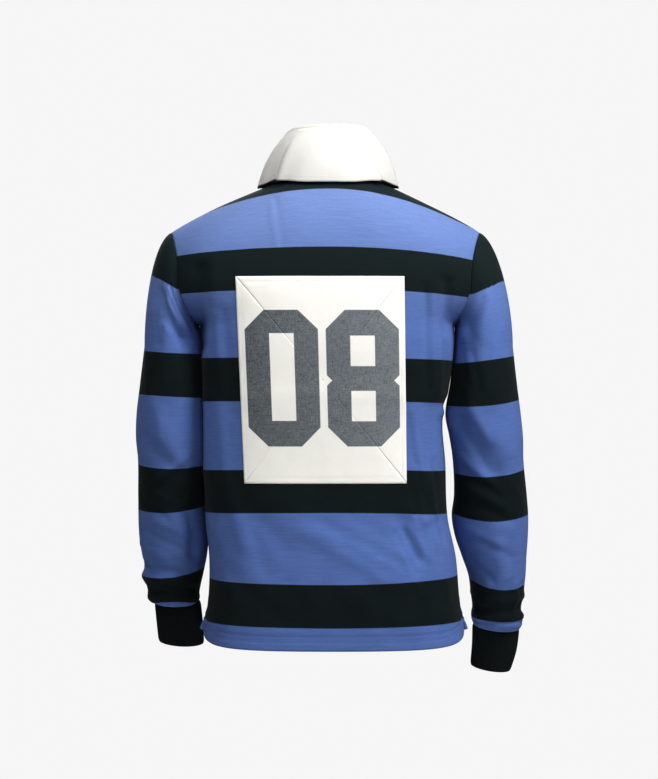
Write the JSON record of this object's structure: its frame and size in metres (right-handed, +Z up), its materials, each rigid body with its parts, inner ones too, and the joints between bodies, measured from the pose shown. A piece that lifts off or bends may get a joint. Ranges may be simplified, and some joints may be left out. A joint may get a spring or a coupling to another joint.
{
  "type": "rugby shirt",
  "caption": "Long-sleeved striped rugby shirt with a white twill collar, ribbed cuffs, side vents and a pieced back patch, held in its worn form and open at neck, hem and cuffs.",
  "frame": {"origin": "middle of the neck's base at the height of the shoulders beside the collar, where the neck and shoulders hold the shirt", "axes": "+Z up, the front faces -Y and the back +Y, and the wearer's left is +X"},
  "size_m": [0.5782, 0.2625, 0.8055],
  "materials": {
    "striped_jersey": "heavy cotton jersey in broad mid-blue and near-black green stripes, matt with a faint bloom",
    "rib_knit": "near-black green ribbed knit, matt",
    "collar_twill": "white cotton twill, topstitched",
    "patch_twill": "off-white cotton twill with worn grey printed numerals",
    "rubber_button": "soft off-white rubber"
  },
  "bodies": {
    "root": {"back": "striped_jersey", "front": "striped_jersey", "sleeve_left": "striped_jersey", "sleeve_right": "striped_jersey", "cuff_left": "rib_knit", "cuff_right": "rib_knit", "collar_stand": "collar_twill", "collar_fall": "collar_twill", "placket_over": "collar_twill", "placket_under": "collar_twill", "patch_top": "patch_twill", "patch_left": "patch_twill", "patch_bottom": "patch_twill", "patch_right": "patch_twill", "button_1": "rubber_button", "button_2": "rubber_button", "button_3": "rubber_button"}
  },
  "joints": []
}
